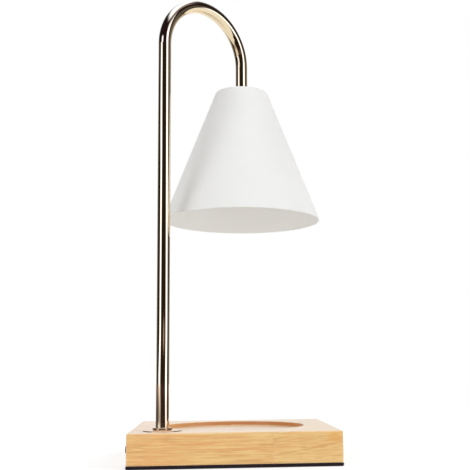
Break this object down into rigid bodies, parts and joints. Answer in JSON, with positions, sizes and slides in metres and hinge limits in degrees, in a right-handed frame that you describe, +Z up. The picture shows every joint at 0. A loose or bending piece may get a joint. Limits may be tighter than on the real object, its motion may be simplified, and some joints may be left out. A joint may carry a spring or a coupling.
{
  "type": "candle warmer lamp",
  "caption": "Table lamp that melts a candle from above: wooden base with a round jar seat, hook-shaped tube and an open cone shade over a twist-lock reflector bulb.",
  "frame": {"origin": "on the table, under the middle of the square base", "axes": "+X to the right along the base's front edge, +Y to the back, +Z up"},
  "size_m": [0.1631, 0.161, 0.3769],
  "materials": {
    "rubberwood": "clear satin lacquer on pale rubberwood",
    "foam_pad": "closed-cell foam sheet, matte black",
    "black_plastic": "black fibre board",
    "zinc_steel": "zinc plated",
    "black_rubber": "moulded black rubber",
    "white_nylon": "natural white nylon",
    "brass": "plain brass",
    "pale_gold": "polished pale gold plating on steel",
    "white_paint": "satin white powder coat",
    "ceramic": "unglazed white ceramic",
    "lead_brown": "heat-resistant sleeve, brown",
    "lead_blue": "heat-resistant sleeve, blue",
    "bulb_ceramic": "off-white ceramic",
    "nickel": "nickel plated",
    "reflector_glass": "pressed glass, aluminised inside",
    "clear_glass": "clear front glass",
    "quartz": "clear quartz",
    "tungsten": "drawn tungsten"
  },
  "bodies": {
    "stand": {"base_block": "rubberwood", "base_pad": "foam_pad", "base_cover": "black_plastic", "cover_screws": "zinc_steel", "cord_bushing": "black_rubber", "terminal_block": "white_nylon", "terminal_sleeves": "brass", "terminal_screws": "zinc_steel", "terminal_fixing_screw": "zinc_steel", "pole_tube": "pale_gold", "pole_washer": "pale_gold", "pole_nut": "pale_gold", "pole_under_washer": "zinc_steel", "pole_lock_washer": "zinc_steel", "pole_under_nut": "zinc_steel", "shade": "white_paint", "shade_spacer": "white_nylon", "shade_nipple": "zinc_steel", "shade_lock_washer": "zinc_steel", "shade_nut": "zinc_steel", "holder_bracket": "zinc_steel", "lampholder": "ceramic", "holder_contacts": "brass", "holder_screws": "zinc_steel", "holder_nuts": "zinc_steel", "lead_live": "lead_brown", "lead_neutral": "lead_blue"},
    "bulb": {"bulb_base": "bulb_ceramic", "bulb_pins": "nickel", "bulb_reflector": "reflector_glass", "bulb_lens": "clear_glass", "bulb_capsule": "quartz", "bulb_filament": "tungsten"}
  },
  "joints": [
    {"name": "bulb_twist", "type": "hinge", "parent": "stand", "child": "bulb", "pos_m": [0.00797, -0.00169, 0.27075], "axis": [0, 0, -1], "range_deg": [0, 40]}
  ]
}
